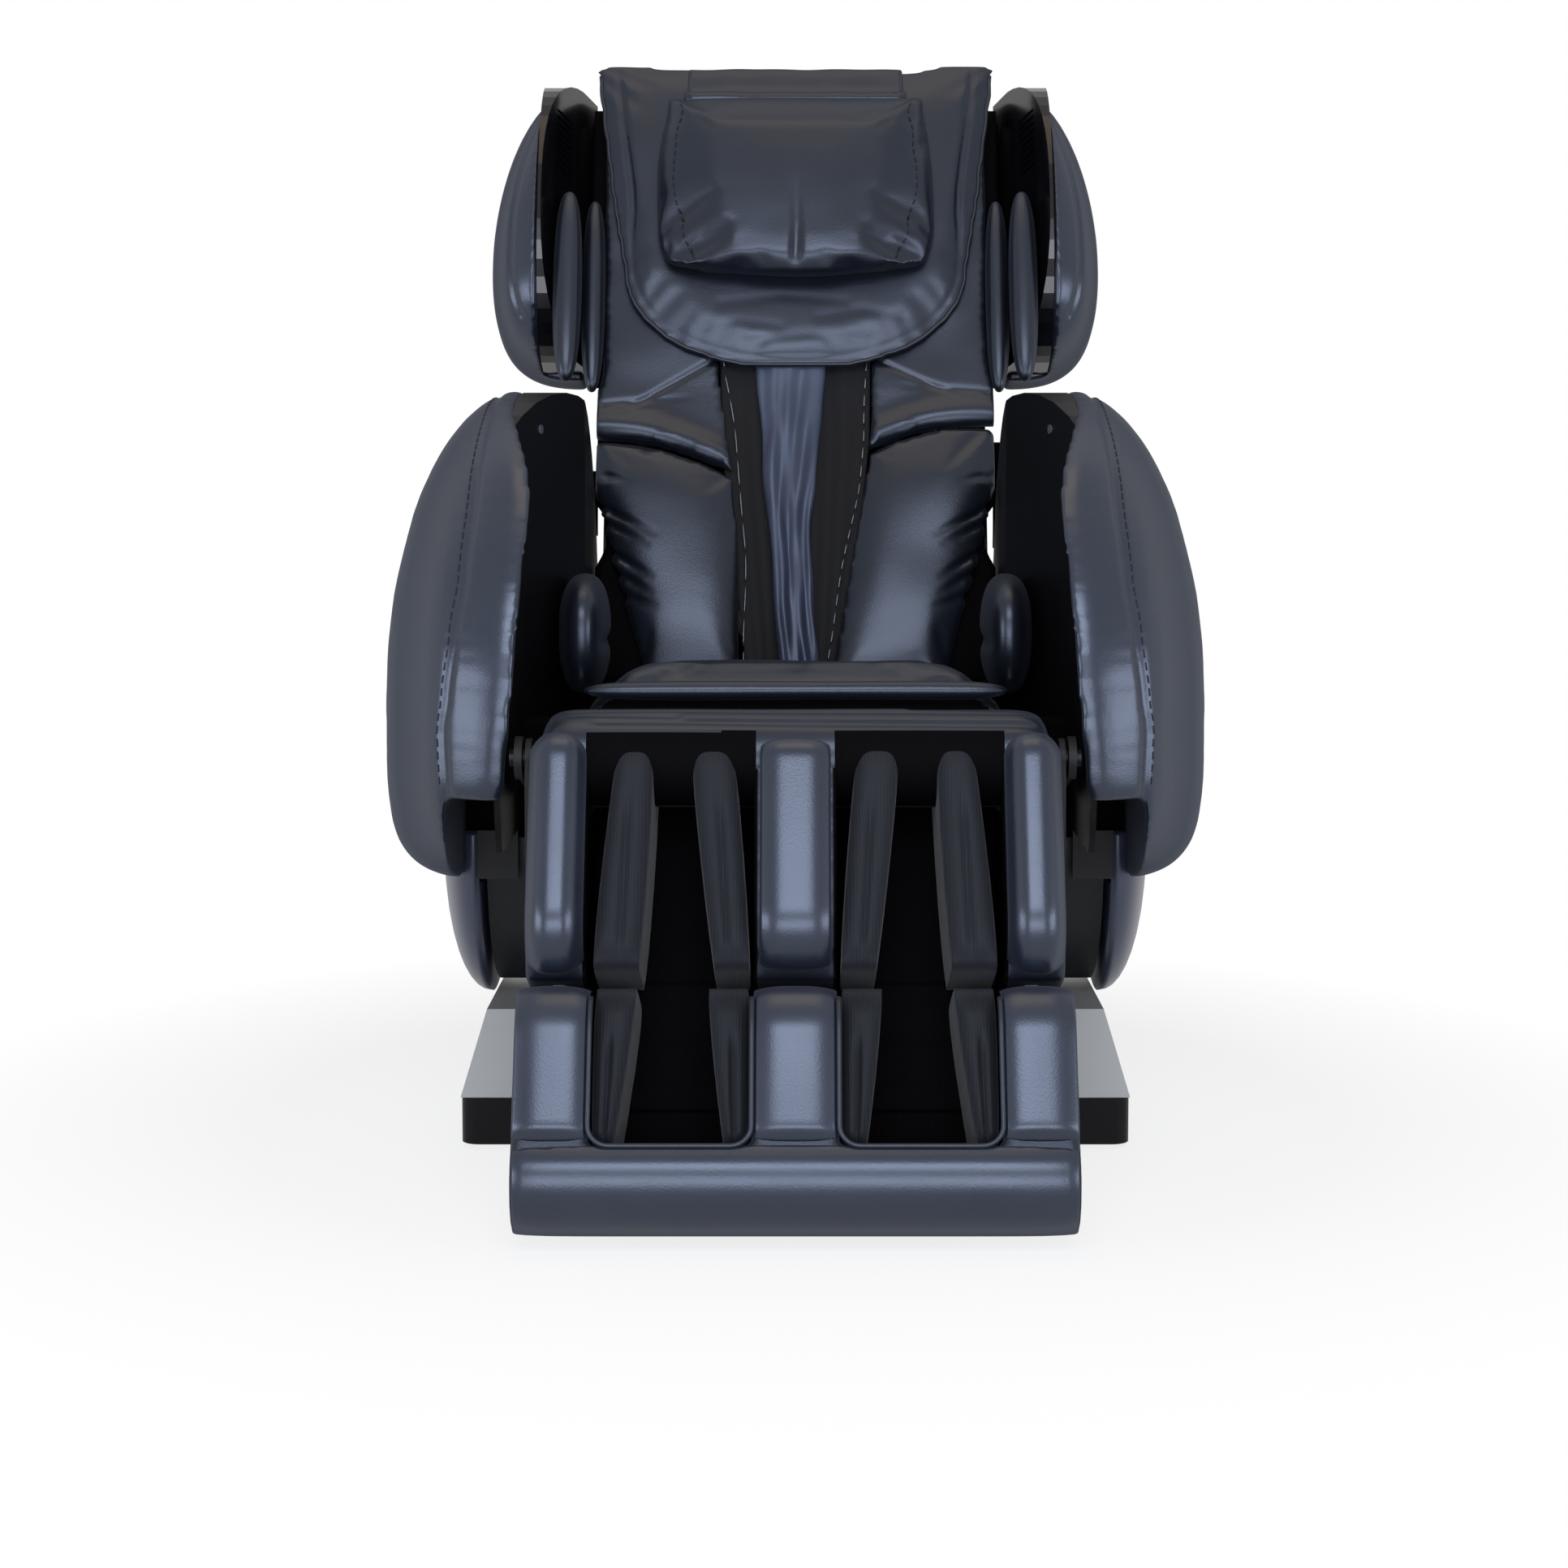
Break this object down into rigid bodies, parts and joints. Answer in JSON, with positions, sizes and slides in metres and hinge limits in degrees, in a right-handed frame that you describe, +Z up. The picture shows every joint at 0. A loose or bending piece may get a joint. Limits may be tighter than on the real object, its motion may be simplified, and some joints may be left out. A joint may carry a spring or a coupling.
{
  "type": "massage chair",
  "caption": "Reclining massage chair with a sliding tilting seat, padded arms, shoulder pods, head pillow, travelling back rollers and a lifting leg rest with foot wells.",
  "frame": {"origin": "on the floor under the middle of the chair's width and length", "axes": "+X across the chair to the sitter's left, +Y towards the back, +Z up; the chair faces -Y"},
  "size_m": [0.914, 1.1738, 1.2435],
  "materials": {
    "leather": "soft grained, satin",
    "gloss_black": "piano gloss",
    "grey_cover": "fine satin texture",
    "side_cover": "satin paint",
    "steel": "brushed",
    "frame_paint": "black powder coat",
    "motor_housing": "moulded black",
    "knit": "ribbed knit",
    "rubber": "moulded",
    "wheel": "moulded tread",
    "lamp": "clear lens",
    "roller": "moulded"
  },
  "bodies": {
    "base": {"base_frame": "frame_paint", "base_cover_left": "grey_cover", "base_cover_right": "grey_cover", "foot_rails": "gloss_black", "rubber_feet": "rubber", "slide_rails": "steel", "slide_drive": "steel", "control_box": "motor_housing", "power_inlet": "motor_housing"},
    "wheel_left": {"transport_wheel_left": "wheel"},
    "wheel_right": {"transport_wheel_right": "wheel"},
    "carriage": {"carriage_frame": "frame_paint", "tilt_pins": "steel", "air_pump": "motor_housing"},
    "seat": {"seat_frame": "frame_paint", "seat_cushion": "leather", "arm_shell_left": "leather", "arm_shell_right": "leather", "arm_inner_left": "gloss_black", "arm_inner_right": "gloss_black", "side_cover_left": "side_cover", "side_cover_right": "side_cover", "side_guard_left": "motor_housing", "side_guard_right": "motor_housing", "hip_pads": "leather", "arm_lamps": "lamp", "arm_brackets": "frame_paint", "pivot_pins": "steel"},
    "actuator_tube": {"recline_actuator": "motor_housing"},
    "actuator_rod": {"recline_rod": "steel"},
    "back": {"back_frame": "frame_paint", "roller_rails": "steel", "lift_drive": "steel", "rear_cover": "gloss_black", "lumbar_cushion_left": "leather", "lumbar_cushion_right": "leather", "shoulder_panel_left": "leather", "shoulder_panel_right": "leather", "track_cover": "knit", "head_flap": "leather", "pillow_rod": "steel", "shoulder_pod_left": "leather", "shoulder_pod_right": "leather", "pod_panel_left": "gloss_black", "pod_panel_right": "gloss_black", "shoulder_airbags": "leather"},
    "pillow": {"pillow": "leather"},
    "roller_unit": {"roller_carriage": "frame_paint"},
    "kneading": {"kneading_shaft": "steel"},
    "roller_arms": {"roller_arms": "steel"},
    "upper_rollers": {"upper_rollers": "roller"},
    "lower_rollers": {"lower_rollers": "roller"},
    "leg_rest": {"calf_shell": "leather", "calf_airbags": "knit", "knee_roll": "leather", "leg_hinge_plates": "frame_paint"},
    "foot_rest": {"foot_shell": "leather", "foot_airbags": "knit", "foot_rods": "steel"},
    "foot_roller": {"foot_roller": "roller"}
  },
  "joints": [
    {"name": "carriage_slide", "type": "slide", "parent": "base", "child": "carriage", "axis": [0, -1, 0], "range_m": [0, 0.12]},
    {"name": "seat_tilt", "type": "hinge", "parent": "carriage", "child": "seat", "pos_m": [0, 0.01368, 0.33], "axis": [-1, 0, 0], "range_deg": [0, 18]},
    {"name": "recline", "type": "hinge", "parent": "seat", "child": "back", "pos_m": [0, 0.17833, 0.39626], "axis": [-1, 0, 0], "range_deg": [0, 45]},
    {"name": "actuator_swing", "type": "hinge", "parent": "seat", "child": "actuator_tube", "pos_m": [0, -0.12132, 0.376], "axis": [1, 0, 0], "range_deg": [-2, 2]},
    {"name": "actuator_stroke", "type": "slide", "parent": "actuator_tube", "child": "actuator_rod", "axis": [0, 0.9826, -0.1857], "range_m": [-0.066, 0.002]},
    {"name": "pillow_flip", "type": "hinge", "parent": "back", "child": "pillow", "pos_m": [0, 0.3444, 1.1946], "axis": [-1, 0, 0], "range_deg": [0, 95]},
    {"name": "roller_travel", "type": "slide", "parent": "back", "child": "roller_unit", "axis": [0, 0.342, 0.9397], "range_m": [0, 0.42]},
    {"name": "kneading_turn", "type": "hinge", "parent": "roller_unit", "child": "kneading", "pos_m": [0, 0.27109, 0.60726], "axis": [1, 0, 0], "continuous": true},
    {"name": "roller_swing", "type": "hinge", "parent": "roller_unit", "child": "roller_arms", "pos_m": [0, 0.27109, 0.60726], "axis": [-1, 0, 0], "range_deg": [-8, 8]},
    {"name": "upper_roller_spin", "type": "hinge", "parent": "roller_arms", "child": "upper_rollers", "pos_m": [0, 0.25941, 0.67749], "axis": [1, 0, 0], "continuous": true},
    {"name": "lower_roller_spin", "type": "hinge", "parent": "roller_arms", "child": "lower_rollers", "pos_m": [0, 0.217, 0.56097], "axis": [1, 0, 0], "continuous": true},
    {"name": "leg_lift", "type": "hinge", "parent": "seat", "child": "leg_rest", "pos_m": [0, -0.34632, 0.452], "axis": [-1, 0, 0], "range_deg": [0, 75]},
    {"name": "foot_extend", "type": "slide", "parent": "leg_rest", "child": "foot_rest", "axis": [0, -0.4019, -0.9157], "range_m": [0, 0.1005]},
    {"name": "foot_roller_spin", "type": "hinge", "parent": "foot_rest", "child": "foot_roller", "pos_m": [0, -0.50317, 0.06981], "axis": [1, 0, 0], "continuous": true},
    {"name": "wheel_left_spin", "type": "hinge", "parent": "base", "child": "wheel_left", "pos_m": [0.205, 0.43168, 0.039], "axis": [1, 0, 0], "continuous": true},
    {"name": "wheel_right_spin", "type": "hinge", "parent": "base", "child": "wheel_right", "pos_m": [-0.205, 0.43168, 0.039], "axis": [1, 0, 0], "continuous": true}
  ],
  "couplings": [
    {"joint": "foot_extend", "follows": "leg_lift", "m_per_rad": 0.076394},
    {"joint": "actuator_swing", "follows": "recline", "ratio": -0.009942},
    {"joint": "actuator_stroke", "follows": "recline", "m_per_rad": -0.078542}
  ]
}
